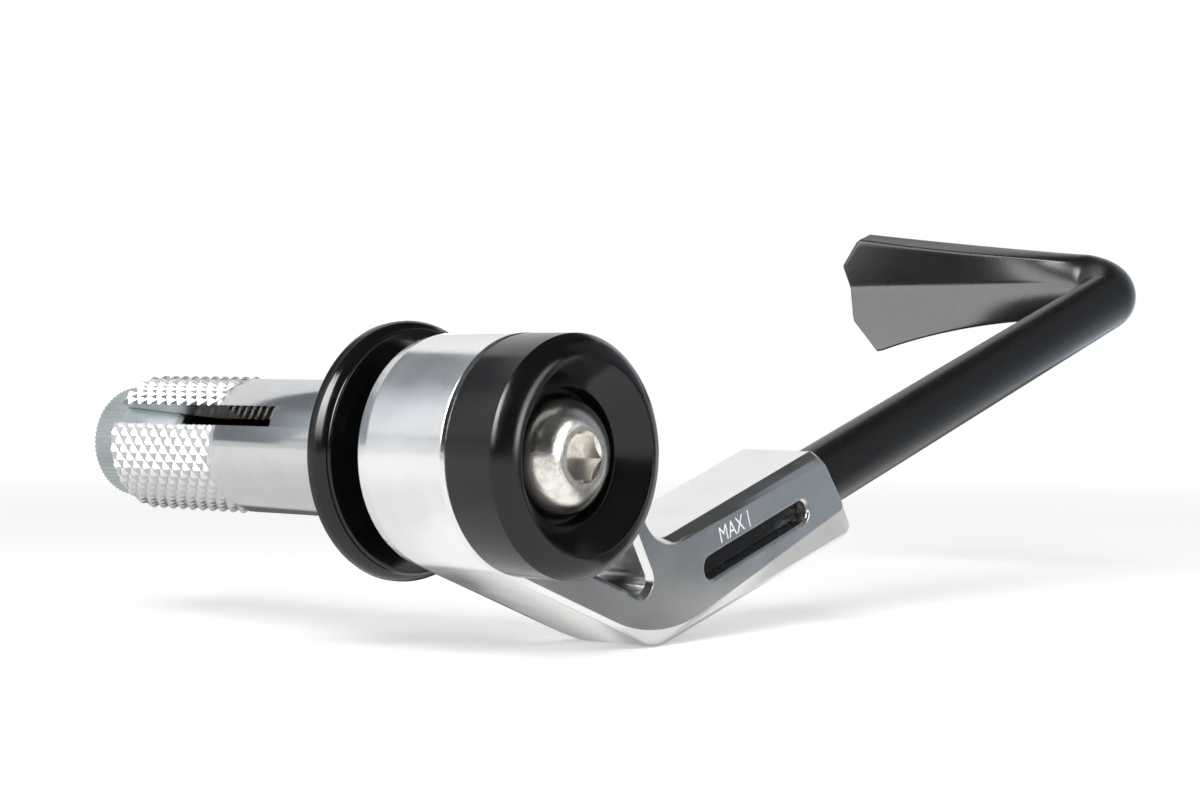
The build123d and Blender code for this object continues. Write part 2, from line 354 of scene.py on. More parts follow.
def bump(tree, height, strength, depth, below=None):
    """Surface relief of a real depth in metres, stacked on another one if given."""
    node = tree.nodes.new("ShaderNodeBump")
    node.inputs["Strength"].default_value = strength
    node.inputs["Distance"].default_value = depth
    tree.links.new(height, node.inputs["Height"])
    if below is not None:
        tree.links.new(below, node.inputs["Normal"])
    return node.outputs["Normal"]


def shade(colour, factor):
    return tuple(min(1.0, c * factor) for c in colour)


def turned_finish(name, colour, metal, rough, line_depth, line_scale, rough_spread, knurl_end=None):
    """Turned surface: fine tool lines round the axis, uneven gloss or, up to a place on the axis, a duller knurl."""
    material, tree, shader = start_material(name, colour, metal, rough)
    marks = turned_place(tree)
    body = object_place(tree)
    lines = noise(tree, marks, line_scale, 2.0)
    cloud = noise(tree, body, 260.0, 4.0)
    tree.links.new(tint(tree, cloud, shade(colour, 0.97), shade(colour, 1.02)), shader.inputs["Base Color"])
    if knurl_end is None:
        gloss = spread(tree, cloud, rough, rough + rough_spread)
    else:
        split = tree.nodes.new("ShaderNodeSeparateXYZ")
        tree.links.new(body, split.inputs[0])
        gloss = spread(tree, split.outputs["X"], rough + rough_spread, rough, knurl_end, knurl_end + 0.6 * MM)
    tree.links.new(gloss, shader.inputs["Roughness"])
    grain = bump(tree, noise(tree, body, 9000.0, 2.0), 0.25, 0.004 * MM)
    tree.links.new(bump(tree, lines, 0.6, line_depth, grain), shader.inputs["Normal"])
    return material


def milled_finish(name, colour, metal, rough, grain_depth, grain_scale, rough_spread, edge):
    """Milled and lightly blasted surface: fine grain, faint clouding, edges that catch the light."""
    material, tree, shader = start_material(name, colour, metal, rough)
    body = object_place(tree)
    cloud = noise(tree, body, 180.0, 5.0)
    tree.links.new(tint(tree, cloud, shade(colour, 0.97), shade(colour, 1.02)), shader.inputs["Base Color"])
    tree.links.new(spread(tree, cloud, rough, rough + rough_spread), shader.inputs["Roughness"])
    soft = tree.nodes.new("ShaderNodeBevel")
    soft.samples = 6
    soft.inputs["Radius"].default_value = edge
    grain = bump(tree, noise(tree, body, grain_scale, 3.0), 0.5, grain_depth, soft.outputs["Normal"])
    tree.links.new(grain, shader.inputs["Normal"])
    return material


def stainless_finish(colour):
    """Cold-formed stainless: hammered grain, cloudy gloss, and a shank made nearly black up to just below the head.
    """
    material, tree, shader = start_material("stainless", colour, 1.0, 0.2)
    body = object_place(tree)
    cloud = noise(tree, body, 520.0, 6.0, 0.7)
    bright = tint(tree, cloud, shade(colour, 0.76), shade(colour, 1.08), 0.34, 0.54)
    split = tree.nodes.new("ShaderNodeSeparateXYZ")
    tree.links.new(body, split.inputs[0])
    # The shank is made nearly black up to 18 mm along the bar axis, turning to the bright grained steel by 23 mm,
    # just below the head's seat.
    head = tree.nodes.new("ShaderNodeMix")
    head.data_type = "RGBA"
    head.inputs["A"].default_value = (*shade(colour, 0.06), 1.0)
    tree.links.new(spread(tree, split.outputs["X"], 0.0, 1.0, 18.0 * MM, 23.0 * MM), head.inputs["Factor"])
    tree.links.new(bright, head.inputs["B"])
    tree.links.new(head.outputs["Result"], shader.inputs["Base Color"])
    tree.links.new(spread(tree, cloud, 0.26, 0.14), shader.inputs["Roughness"])
    pits = noise(tree, body, 3800.0, 3.0, 0.6)
    swell = bump(tree, noise(tree, body, 700.0, 2.0), 0.5, 0.016 * MM)
    tree.links.new(bump(tree, pits, 0.9, 0.026 * MM, swell), shader.inputs["Normal"])
    return material


# Operators

class LEVERGUARD_OT_clamp(bpy.types.Operator):
    """Turned flange, dished end cap and knurled expander sleeve"""
    bl_idname = "leverguard.clamp"
    bl_label = "Bar clamp"

    def execute(self, context):
        colours = context.scene.lever_guard_colours
        self.flange(colours)
        self.cap(colours)
        self.sleeve(colours, context.scene.lever_guard_sizes)
        return {"FINISHED"}

    def flange(self, colours):
        corners = [
            (4.5, 4.25), (4.5, 7.25), (0.6, 7.25), (0.6, 8.25), (0.0, 8.25), (0.0, 15.05), (1.65, 15.05),
            (2.45, 14.25), (2.45, 14.1), (2.8, 14.1), (2.8, 9.6), (6.55, 9.6), (6.55, 7.0), (19.4, 7.0), (19.4, 4.25)]
        outline = rounded(corners, {5: 0.4, 6: 1.9, 9: 0.3, 10: 0.5, 11: 0.2, 13: 0.4}, 7)
        piece = turn_piece("flange", outline)
        black = turned_finish("gloss_black", colours.gloss_black, 0.0, 0.1, 0.004 * MM, 5200.0, 0.06)
        place(piece, black, "bar_clamp", "anodised_black", "bar_flange")

    def cap(self, colours):
        nose = arc_points((26.9, 13.5), (28.15, 12.4), (28.9, 10.75), 14)
        corners = [(23.67, 4.25), (20.06, 4.25), (20.06, 13.25), (20.31, 13.5)] + nose + [(25.75, 7.6), (23.67, 7.6)]
        last = len(corners) - 1
        outline = rounded(corners, {2: 0.1, 3: 0.1, last - 2: 0.3, last - 1: 0.25, last: 0.2})
        piece = turn_piece("cap", outline, crease=20.0)
        black = turned_finish("satin_black", colours.satin_black, 0.0, 0.16, 0.008 * MM, 4200.0, 0.06)
        place(piece, black, "bar_clamp", "anodised_black", "end_cap")

    def sleeve(self, colours, sizes):
        pitch = sizes.knurl_pitch / MM
        depth = sizes.knurl_depth / MM
        count = sizes.knurl_count
        start, end, crest, shank = -24.4, -43.7, 8.37, 8.1
        lead, sink, runout = 0.35, 0.02, 1.6
        slit_count, slit_end, slit_width, slit_turn, slit_reach = 3, -14.6, 2.7, 152.0, 13.0
        facets = 8
        step = pitch / facets
        rows = int((start - end - lead) / step)
        outer = [(end + lead + step * k, crest) for k in range(rows + 1)]
        outline = [(end, 6.93), (end, 8.02)] + outer
        outline += [
            (start, shank), (start + 0.1, shank), (start + 0.4, shank), (0.0, shank), (0.6, 7.95), (0.6, 7.2),
            (4.5, 7.2), (4.5, 4.6), (-29.0, 4.6)]
        first = 2
        last = first + rows
        flat = 0.82

        def height(x, angle):
            u = (angle * count / (2 * math.pi)) % 1.0 - 0.5
            v = ((x - end - lead) / pitch) % 1.0 - 0.5
            return min(abs(1 - 2 * abs(u) - 2 * abs(v)), flat) / flat

        def relief(k, x, r, angle):
            if not first <= k <= last:
                return r
            fade = part_way(x, start, start - runout)
            return shank - sink + (r - shank + sink) * fade - depth * fade * (1 - height(x, angle))

        def valley(k, j):
            if not first <= k < last:
                return None
            u = ((j + 0.5) / facets) % 1.0 - 0.5
            v = ((k - first + 0.5) / facets) % 1.0 - 0.5
            return u * v < 0

        piece = turn_piece("sleeve", outline, facets * count, relief, valley, 18.0)
        length = slit_end - end + 1.0
        shift = Matrix.Translation(Vector((slit_end - length / 2, slit_reach / 2, 0.0)) * MM)
        size = Matrix.Diagonal((length * MM, slit_reach * MM, slit_width * MM, 1.0))
        cutters = []
        for turn in range(slit_count):
            bpy.ops.mesh.primitive_cube_add(size=1)
            cutter = bpy.context.object
            spin = Matrix.Rotation(math.radians(slit_turn + 360.0 * turn / slit_count), 4, "X")
            cutter.matrix_world = spin @ shift @ size
            cutters.append(cutter)
        bpy.context.view_layer.update()
        cut_away(piece, cutters, 18.0)
        bright = turned_finish(
            "turned_bright", colours.turned_bright, 1.0, 0.12, 0.004 * MM, 3800.0, 0.18, start * MM)
        place(piece, bright, "bar_clamp", "bare_aluminium", "expander_sleeve")


class LEVERGUARD_OT_bolt(bpy.types.Operator):
    """Clamp bolt with a hexagon socket and rolled thread, and the ribbed cone nut"""
    bl_idname = "leverguard.bolt"
    bl_label = "Clamp bolt and nut"

    def execute(self, context):
        colours = context.scene.lever_guard_colours
        sizes = context.scene.lever_guard_sizes
        self.bolt(colours, sizes)
        self.nut(colours, sizes)
        return {"FINISHED"}

    def bolt(self, colours, sizes):
        pitch = sizes.thread_pitch / MM
        depth = sizes.thread_depth / MM
        tip, seat, top, thread_end = -46.33, 23.67, 28.07, -18.0
        shank, head_r, lead = 4.0, 7.0, 0.9
        hex_r, hex_depth, hex_turn = 2.5 / math.cos(math.radians(30)), 2.6, -4.0
        step = pitch / 8
        rows = int((thread_end - tip - lead) / step)
        thread = [(tip + lead + step * k, shank) for k in range(rows + 1)]
        dome = arc_points((seat + 0.4, head_r), (26.67, 5.8), (top, 3.45), 20)
        head = rounded([(seat, shank), (seat, head_r)] + dome + [(top, 0.001)], {1: 0.15, 22: 0.5})
        outline = [(tip, 0.001), (tip, 3.1)] + thread + head
        first = 2
        last = first + rows

        def relief(k, x, r, angle):
            if not first <= k <= last:
                return r
            wave = abs(((x / pitch - angle / (2 * math.pi)) % 1.0) * 2 - 1)
            fade = part_way(x, thread_end, thread_end - 2 * pitch)
            return r - depth * fade * min(1.0, max(0.0, 1.15 * wave - 0.1))

        piece = turn_piece("bolt", outline, 96, relief, None, 35.0)
        socket = self.prism(6, hex_r, hex_r, top - hex_depth, top + 0.5, hex_turn)
        lead = self.prism(64, 2.5, hex_r + 0.42, top - 0.39, top + 0.42, 0.0)
        cut_away(piece, [socket, lead], 35.0)
        place(piece, stainless_finish(colours.stainless), "bolt", "stainless", "clamp_bolt")

    def prism(self, sides, r_from, r_to, x_from, x_to, turn):
        """A straight or tapered prism on the bar axis, first corner turned up from Y."""
        verts = []
        for x, r in ((x_from, r_from), (x_to, r_to)):
            for k in range(sides):
                angle = math.radians(turn) + 2 * math.pi * k / sides
                verts.append((x, r * math.cos(angle), r * math.sin(angle)))
        faces = [tuple(range(sides)), tuple(range(sides, 2 * sides))]
        faces += [(k, (k + 1) % sides, sides + (k + 1) % sides, sides + k) for k in range(sides)]
        return finish_mesh("prism", verts, faces)

    def nut(self, colours, sizes):
        depth = sizes.rib_depth / MM
        count = sizes.rib_count
        tail = [(-48.5, 6.85), (-47.5, 6.85), (-46.2, 6.85), (-45.0, 6.85), (-44.0, 6.85)]
        outline = [(-49.0, 4.03), (-49.0, 6.35)] + tail
        outline += [(-43.7, 6.85), (-35.2, 5.53), (-34.7, 4.95), (-34.7, 4.03)]

        def relief(k, x, r, angle):
            if not 1 <= k <= 6:
                return r
            wave = abs((angle * count / (2 * math.pi)) % 1.0 * 2 - 1)
            return r - depth * (1 - wave)

        piece = turn_piece("cone_nut_body", outline, 4 * count, relief, None, 14.0)
        grey = turned_finish("nut_grey", colours.nut_grey, 1.0, 0.28, 0.008 * MM, 3600.0, 0.12)
        place(piece, grey, "nut", "nut_steel", "cone_nut")


class LEVERGUARD_OT_arm(bpy.types.Operator):
    """Milled mounting arm with its set screws and the printed end mark"""
    bl_idname = "leverguard.arm"
    bl_label = "Mounting arm"

    def execute(self, context):
        colours = context.scene.lever_guard_colours
        sizes = context.scene.lever_guard_sizes
        arm = clean_copy("mounting_arm", "arm_body")
        bright = milled_finish(
            "milled_bright", colours.milled_bright, 1.0, 0.15, 0.009 * MM, 3600.0, 0.07, sizes.edge_break)
        place(arm, bright, "arm", "satin_aluminium", "mounting_arm")
        screws = clean_copy("set_screws", "grub_screws")
        black = milled_finish(
            "screw_black", colours.screw_black, 1.0, 0.35, 0.008 * MM, 6000.0, 0.1, sizes.edge_break)
        place(screws, black, "arm", "screw_black", "set_screws")
        self.mark(colours, sizes)
        return {"FINISHED"}

    def mark(self, colours, sizes):
        white, tree, shader = start_material("mark_white", colours.mark_white, 0.0, 0.5)
        worn = noise(tree, object_place(tree), 6000.0, 3.0)
        tree.links.new(
            tint(tree, worn, shade(colours.mark_white, 0.82), colours.mark_white), shader.inputs["Base Color"])
        tilt = math.radians(ROD_TILT)
        along = Vector((0.0, math.cos(tilt), math.sin(tilt)))
        above = Vector((0.0, -math.sin(tilt), math.cos(tilt)))
        out = Vector((1.0, 0.0, 0.0))
        turn = Matrix((along, above, out)).transposed().to_4x4()
        root = above * ROD_DROP
        face, letter_share, letter_width = 20.075, 0.69, 0.8
        line_at, line_low, line_high, line_half = 34.1, 2.1, 4.2, 0.09

        def spot(a, n):
            return (root + along * a + above * n + out * face) * MM

        curve = bpy.data.curves.new("end_mark", "FONT")
        curve.body = sizes.mark_word
        curve.size = sizes.mark_height / letter_share
        curve.resolution_u = 3
        curve.offset = -0.012 * MM
        letters = bpy.data.objects.new("letters", curve)
        bpy.context.scene.collection.objects.link(letters)
        narrow = Matrix.Diagonal((letter_width, 1.0, 1.0, 1.0))
        letters.matrix_world = Matrix.Translation(spot(28.1, 2.15)) @ turn @ narrow
        bpy.context.view_layer.update()
        mesh = bpy.data.meshes.new_from_object(letters.evaluated_get(bpy.context.evaluated_depsgraph_get()))
        mesh.transform(letters.matrix_world)
        bpy.data.objects.remove(letters)
        word = bpy.data.objects.new("end_mark", mesh)
        bpy.context.scene.collection.objects.link(word)
        place(word, white, "arm", "satin_aluminium")
        left, right = line_at - line_half, line_at + line_half
        corners = [spot(left, line_low), spot(right, line_low), spot(right, line_high), spot(left, line_high)]
        line = finish_mesh("end_line", [c / MM for c in corners], [(0, 1, 2, 3)])
        place(line, white, "arm", "satin_aluminium")


class LEVERGUARD_OT_guard(bpy.types.Operator):
    """Bent rod that flares into the creased blade"""
    bl_idname = "leverguard.guard"
    bl_label = "Lever guard"

    rod_r, rod_x, tail, corner = 4.15, 14.0, 22.6, 136.3
    bend_r, bend_half, bend_rise = 5.0, 5.0, 1.0
    middle, end = -13.0, -33.5
    start_angles = (25.0, 90.0, 155.0, 205.0, 292.0, 335.0)
    middle_points = ((8.75, -0.4), (2.2, 1.9), (-4.3, -0.4), (-4.3, -4.5), (2.8, -3.3), (8.75, -4.6))
    end_points = ((12.1, -2.6), (2.4, 0.4), (-9.2, -2.6), (-9.2, -5.3), (2.6, -3.25), (12.1, -5.45))
    top_cut, low_cut = (5.9, 5.6), (5.8, 6.7)
    edge_round, end_round = 0.4, 0.3

    def execute(self, context):
        colours = context.scene.lever_guard_colours
        sizes = context.scene.lever_guard_sizes
        rings = self.rod_rings() + self.blade_rings()
        count = len(rings[0])
        verts = [point for ring in rings for point in ring]
        faces = [tuple(range(count)), tuple(range(len(verts) - count, len(verts)))]
        for j in range(len(rings) - 1):
            for k in range(count):
                m = (k + 1) % count
                faces.append((j * count + k, j * count + m, (j + 1) * count + m, (j + 1) * count + k))
        guard = finish_mesh("guard_body", verts, faces, 38.0)
        black = milled_finish(
            "guard_black", colours.guard_black, 0.0, 0.26, 0.014 * MM, 3000.0, 0.03, sizes.edge_break)
        place(guard, black, "guard", "guard_black", "lever_guard")
        return {"FINISHED"}

    def spot(self, x, along, above):
        """A place at x, at a distance along the rod line and above it."""
        tilt = math.radians(ROD_TILT)
        rise = ROD_DROP + above
        return (x, along * math.cos(tilt) - rise * math.sin(tilt), along * math.sin(tilt) + rise * math.cos(tilt))

    def round_angles(self):
        """Angles round the rod that fall on the blade's corners and edges in order."""
        angles = []
        for i, angle in enumerate(self.start_angles):
            before = (angle - self.start_angles[i - 1]) % 360.0
            after = (self.start_angles[(i + 1) % 6] - angle) % 360.0
            angles += [angle - before * 0.06 * (2 - k) / 2 for k in range(2)]
            angles += [angle + after * 0.06 * k / 2 for k in range(3)]
            angles += [angle + after * (0.06 + 0.88 * k / 11) for k in range(1, 11)]
        return [math.radians(a) for a in angles]

    def corner_ring(self, corners):
        """A six-sided section with softened corners, as many points as round_angles."""
        ring = []
        for i, corner in enumerate(corners):
            here = Vector(corner)
            back = Vector(corners[i - 1]) - here
            ahead = Vector(corners[(i + 1) % 6]) - here
            reach_back = min(self.edge_round, back.length * 0.3)
            reach = min(self.edge_round, ahead.length * 0.3)
            first = here + back.normalized() * reach_back
            last = here + ahead.normalized() * reach
            for k in range(5):
                t = k / 4
                ring.append(first * (1 - t) ** 2 + here * (2 * t * (1 - t)) + last * t * t)
            stop = here + ahead.normalized() * (ahead.length - reach)
            ring += [last.lerp(stop, k / 11) for k in range(1, 11)]
        return ring

    def rod_rings(self):
        angles = self.round_angles()
        straight = self.corner - self.bend_r
        rings = []
        for along, r in ((self.tail, self.rod_r - 0.35), (self.tail + 0.35, self.rod_r), (straight, self.rod_r)):
            rings.append([
                self.spot(self.rod_x + r * math.sin(a), along, r * math.cos(a)) for a in angles])
        for step in range(1, 19):
            share = step / 18
            turn = math.radians(90.0 * share)
            half = self.rod_r + (self.bend_half - self.rod_r) * share
            ring = []
            for a in angles:
                out = self.rod_r * math.sin(a)
                reach = self.bend_r + out
                ring.append(self.spot(
                    self.rod_x - self.bend_r + reach * math.cos(turn), straight + reach * math.sin(turn),
                    self.bend_rise * share + half * math.cos(a)))
            rings.append(ring)
        return rings

    def blade_rings(self):
        first = self.rod_x - self.bend_r
        start_ring = [
            Vector((self.bend_rise + self.bend_half * math.cos(a), self.rod_r * math.sin(a)))
            for a in self.round_angles()]
        start_points = [start_ring[15 * i + 2] for i in range(6)]
        bulge = [a - b for a, b in zip(start_ring, self.corner_ring(start_points))]
        mid_share = (first - self.middle) / (first - self.end)
        top, low = self.end_points[0][0], self.end_points[2][0]
        cut_starts = [(first - self.end - cut[0]) / (first - self.end) for cut in (self.top_cut, self.low_cut)]
        shares = sorted([k / 48 for k in range(1, 48)] + cut_starts + [1 - self.end_round / (first - self.end), 1.0])
        rings = []
        for t in shares:
            w0 = (t - mid_share) * (t - 1) / mid_share
            w1 = t * (t - 1) / (mid_share * (mid_share - 1))
            w2 = t * (t - mid_share) / (1 - mid_share)
            x = first + (self.end - first) * t
            trio = zip(start_points, self.middle_points, self.end_points)
            corners = [Vector(s) * w0 + Vector(m) * w1 + Vector(e) * w2 for s, m, e in trio]
            from_end = x - self.end
            roof = top - self.top_cut[1] * (1 - from_end / self.top_cut[0])
            sill = low + self.low_cut[1] * (1 - from_end / self.low_cut[0])
            inset = self.end_round if t == 1.0 else 0.0
            corners = self.clipped(corners, roof - inset, sill + inset, inset)
            ring = [a + b * w0 for a, b in zip(self.corner_ring(corners), bulge)]
            rings.append([self.spot(x, self.corner + p.y, p.x) for p in ring])
        return rings

    def clipped(self, corners, roof, sill, inset):
        """The section between two heights, made thinner by an inset on both sides."""
        def slide(outer, inner, limit):
            share = (limit - inner.x) / (outer.x - inner.x)
            return inner + (outer - inner) * min(1.0, share)

        front_top, front, front_low, back_low, back, back_top = corners
        thinner = Vector((0.0, inset))
        return [
            slide(front_top, front, roof) - thinner, front - thinner, slide(front_low, front, sill) - thinner,
            slide(back_low, back, sill) + thinner, back + thinner, slide(back_top, back, roof) + thinner]


class LEVERGUARD_OT_stage(bpy.types.Operator):
    """Camera, white table, soft lights and the cards that the metal reflects"""
    bl_idname = "leverguard.stage"
    bl_label = "Stage"

    def execute(self, context):
        stage = context.scene.lever_guard_stage
        context.scene.view_settings.view_transform = "Standard"
        self.camera(context, stage)
        self.surround(context, stage)
        self.table(context, stage)
        self.lights(context, stage)
        self.cards(context)
        return {"FINISHED"}

    def camera(self, context, stage):
        data = bpy.data.cameras.new("camera")
        data.lens = stage.lens
        data.sensor_width = 36.0
        data.clip_start = 0.01
        data.clip_end = 30.0
        camera = bpy.data.objects.new("camera", data)
        right = Vector((0.7483, 0.6633, 0.0093)).normalized()
        back = Vector((0.6633, -0.7483, 0.0082)).normalized()
        up = back.cross(right).normalized()
        right = up.cross(back)
        camera.matrix_world = Matrix.Translation(stage.place) @ Matrix((right, up, back)).transposed().to_4x4()
        context.scene.collection.objects.link(camera)
        context.scene.camera = camera

    def surround(self, context, stage):
        """Even light for matt surfaces, graded light for reflections, and plain white past the table's edge."""
        world = bpy.data.worlds.new("surround")
        world.use_nodes = True
        context.scene.world = world
        tree = world.node_tree
        tree.nodes.clear()
        rays = tree.nodes.new("ShaderNodeLightPath")
        even = tree.nodes.new("ShaderNodeBackground")
        even.inputs["Color"].default_value = (1.0, 1.0, 1.0, 1.0)
        even.inputs["Strength"].default_value = stage.sky
        shine = tree.nodes.new("ShaderNodeBackground")
        shine.inputs["Color"].default_value = (1.0, 1.0, 1.0, 1.0)
        split = tree.nodes.new("ShaderNodeSeparateXYZ")
        tree.links.new(tree.nodes.new("ShaderNodeTexCoord").outputs["Generated"], split.inputs[0])
        tree.links.new(spread(tree, split.outputs["Z"], 0.74, 0.96, 0.0, 0.75), shine.inputs["Strength"])
        white = tree.nodes.new("ShaderNodeBackground")
        white.inputs["Color"].default_value = (1.0, 1.0, 1.0, 1.0)
        around = tree.nodes.new("ShaderNodeMixShader")
        tree.links.new(rays.outputs["Is Glossy Ray"], around.inputs["Fac"])
        tree.links.new(even.outputs[0], around.inputs[1])
        tree.links.new(shine.outputs[0], around.inputs[2])
        seen = tree.nodes.new("ShaderNodeMath")
        seen.operation = "MAXIMUM"
        tree.links.new(rays.outputs["Is Camera Ray"], seen.inputs[0])
        tree.links.new(rays.outputs["Is Transmission Ray"], seen.inputs[1])
        mix = tree.nodes.new("ShaderNodeMixShader")
        tree.links.new(seen.outputs[0], mix.inputs["Fac"])
        tree.links.new(around.outputs[0], mix.inputs[1])
        tree.links.new(white.outputs[0], mix.inputs[2])
        output = tree.nodes.new("ShaderNodeOutputWorld")
        tree.links.new(mix.outputs[0], output.inputs["Surface"])

    def table(self, context, stage):
        low = cad_box[0][2]
        bpy.ops.mesh.primitive_circle_add(vertices=96, radius=3.0, fill_type="NGON", location=(0.02, 0.06, low))
        floor = context.object
        floor.name = "table"
        material = bpy.data.materials.new("table_white")
        material.use_nodes = True
        tree = material.node_tree
        tree.nodes.clear()
        matt = tree.nodes.new("ShaderNodeBsdfDiffuse")
        matt.inputs["Color"].default_value = (*stage.floor, 1.0)
        glow = tree.nodes.new("ShaderNodeEmission")
        glow.inputs["Strength"].default_value = 0.28
        lit = tree.nodes.new("ShaderNodeAddShader")
        tree.links.new(matt.outputs[0], lit.inputs[0])
        tree.links.new(glow.outputs[0], lit.inputs[1])
        white = tree.nodes.new("ShaderNodeEmission")
        reach = tree.nodes.new("ShaderNodeVectorMath")
        reach.operation = "LENGTH"
        tree.links.new(object_place(tree), reach.inputs[0])
        edge = spread(tree, reach.outputs["Value"], 0.0, 1.0, 0.16, 0.5)
        mix = tree.nodes.new("ShaderNodeMixShader")
        tree.links.new(edge, mix.inputs["Fac"])
        tree.links.new(lit.outputs[0], mix.inputs[1])
        tree.links.new(white.outputs[0], mix.inputs[2])
        output = tree.nodes.new("ShaderNodeOutputMaterial")
        tree.links.new(mix.outputs[0], output.inputs["Surface"])
        floor.data.materials.append(material)
        floor.visible_glossy = False

    def lights(self, context, stage):
        self.soft_light(context, "key", (0.30, -0.42, 0.37), (0.0, 0.04, 0.0), 0.3, 0.3, stage.key_power)
        self.soft_light(context, "fill", (0.45, 0.10, 0.42), (0.01, 0.04, 0.0), 0.4, 0.4, stage.fill_power)

    def soft_light(self, context, name, at, towards, width, height, power):
        data = bpy.data.lights.new(name, "AREA")
        data.shape = "RECTANGLE"
        data.size = width
        data.size_y = height
        data.energy = power
        lamp = bpy.data.objects.new(name, data)
        lamp.matrix_world = self.facing(at, towards)
        lamp.visible_camera = False
        lamp.visible_glossy = False
        context.scene.collection.objects.link(lamp)

    def facing(self, at, towards):
        """A matrix at a place whose -Z looks towards a point."""
        look = Vector(towards) - Vector(at)
        return Matrix.Translation(at) @ look.to_track_quat("-Z", "Y").to_matrix().to_4x4()

    def cards(self, context):
        self.card(context, "overhead_card", [
            (-0.30, -0.55, 0.6), (0.9, -0.55, 0.6), (0.9, 0.9, 0.6), (-0.30, 0.9, 0.6)],
            [(0, 1, 2, 3)], [0.12, 0.05, 0.03, 0.03])
        self.card(context, "near_card", [
            (-0.065, -0.066, 0.006), (-0.065, -0.038, 0.006), (-0.065, -0.076, 0.052), (-0.065, -0.019, 0.047),
            (-0.065, -0.050, 0.105), (-0.065, 0.022, 0.105), (-0.065, 0.022, 0.072)],
            [(0, 1, 3, 2), (2, 3, 4), (3, 6, 5, 4)], [0.3, 0.22, 0.75, 0.2, 0.34, 0.2, 0.17], (0.92, 0.99, 1.08))
        self.card(context, "strip_card", [
            (-0.61, -0.23, 0.085), (-0.21, -0.63, 0.085), (-0.21, -0.63, 0.125), (-0.61, -0.23, 0.125)],
            [(0, 1, 2, 3)], [0.55, 0.55, 0.55, 0.55], (0.95, 1.0, 1.06))
        self.card(context, "side_card", [
            (0.114, 0.093, -0.08), (0.071, 0.146, -0.08), (-0.03, 0.27, -0.08), (0.114, 0.093, 0.012),
            (0.071, 0.146, 0.012), (-0.03, 0.27, 0.012), (0.114, 0.093, 0.16), (-0.03, 0.27, 0.16)],
            [(0, 1, 4, 3), (1, 2, 5, 4), (3, 4, 5, 7, 6)],
            [0.13, 0.39, 2.8, 0.13, 0.31, 1.6, 0.16, 0.2], (0.9, 1.0, 1.1))
        self.card(context, "bounce_card", [
            (-0.08, 0.105, -0.0225), (-0.035, 0.02, -0.0225), (-0.035, 0.02, 0.03), (-0.08, 0.105, 0.03)],
            [(0, 1, 2, 3)], [7.5, 7.5, 4.5, 4.5])
        self.card(context, "right_card", [
            (0.57, -0.02, 0.02), (0.57, 0.08, 0.02), (0.57, 0.12, 0.126), (0.57, 0.0, 0.126),
            (0.57, 0.17, 0.23), (0.57, 0.065, 0.235), (0.43, 0.29, 0.32), (0.47, 0.18, 0.34)],
            [(0, 1, 2, 3), (3, 2, 4, 5), (5, 4, 6, 7)], [9.0, 9.0, 9.0, 9.0, 7.0, 7.0, 2.0, 2.0])
        self.key_card(context)
        self.shadowed_table_card(context)
        self.room(context)

    def key_card(self, context):
        """The wide softbox in front, on a dome round the part."""
        corners = []
        for height in (8.0, 22.0, 36.0, 48.0, 58.0):
            for side in (-114.0, -100.0, -86.0, -72.0, -60.0):
                flat = 0.65 * math.cos(math.radians(height))
                corners.append((
                    flat * math.cos(math.radians(side)), flat * math.sin(math.radians(side)),
                    0.65 * math.sin(math.radians(height))))
        faces = [(5 * j + k, 5 * j + k + 1, 5 * j + k + 6, 5 * j + k + 5) for j in range(4) for k in range(4)]
        levels = [level for level in (0.5, 9.0, 16.0, 16.0, 9.0) for _ in range(5)]
        self.card(context, "key_card", corners, faces, levels)

    def shadowed_table_card(self, context):
        """The table top as the metal sees it, with the part's shadows painted into its brightness."""
        steps_x = (
            -1.6, -0.4, -0.2, -0.11, -0.07, -0.045, -0.02, -0.004, 0.0, 0.006, 0.01, 0.0125, 0.015, 0.0175, 0.02,
            0.0215, 0.024, 0.032, 0.05, 0.08, 0.15, 0.4, 1.6)
        steps_y = (
            -1.6, -0.4, -0.15, -0.08, -0.04, -0.01, 0.0, 0.004, 0.006, 0.01, 0.014, 0.017, 0.02, 0.0235, 0.027,
            0.03, 0.045, 0.055, 0.075, 0.11, 0.15, 0.25, 0.4, 1.6)
        low = cad_box[0][2] - 0.5 * MM
        # The corner levels hold painted shadow of the part on the table.
        corners = [(x, y, low) for y in steps_y for x in steps_x]
        levels = [self.painted_table_shade(x, y) for x, y, _ in corners]
        wide = len(steps_x)
        faces = [
            (j * wide + k, j * wide + k + 1, (j + 1) * wide + k + 1, (j + 1) * wide + k)
            for j in range(len(steps_y) - 1) for k in range(wide - 1)]
        self.card(context, "shadowed_table_card", corners, faces, levels, (1.0, 0.99, 0.965))

    def painted_table_shade(self, x, y):
        """Brightness of the table at a place, with painted shadow: darker behind the clamp, under the arm and far off
        at the right.
        """
        # Painted shadow of the arm and guard on the table behind at the right, with a lighter patch further back.
        if x > 0.03 and y > 0.02:
            if x < 0.2 and 0.12 < y < 0.3:
                return 0.75
            return 0.55 if x < 0.03 + 0.8 * (min(y, 0.08) - 0.045) else 0.22
        # Painted shade round the part: darker near the clamp and under the arm's bend.
        level = min(1.0, 0.72 + 4.0 * math.hypot(x + 0.03, y), 0.8 + 5.0 * math.hypot(x - 0.01, y - 0.03))
        # Painted shadow on the table behind the sleeve.
        if x < 0.0:
            return level + (0.15 - level) * part_way(y, 0.006, 0.01)
        # Painted shade under the collar, graded across the arm's lower edge.
        if x < 0.014 and y < 0.04:
            return min(1.0, max(0.33, 0.87 - 66.0 * (y - 0.0156 - 0.83 * (x - 0.0088))))
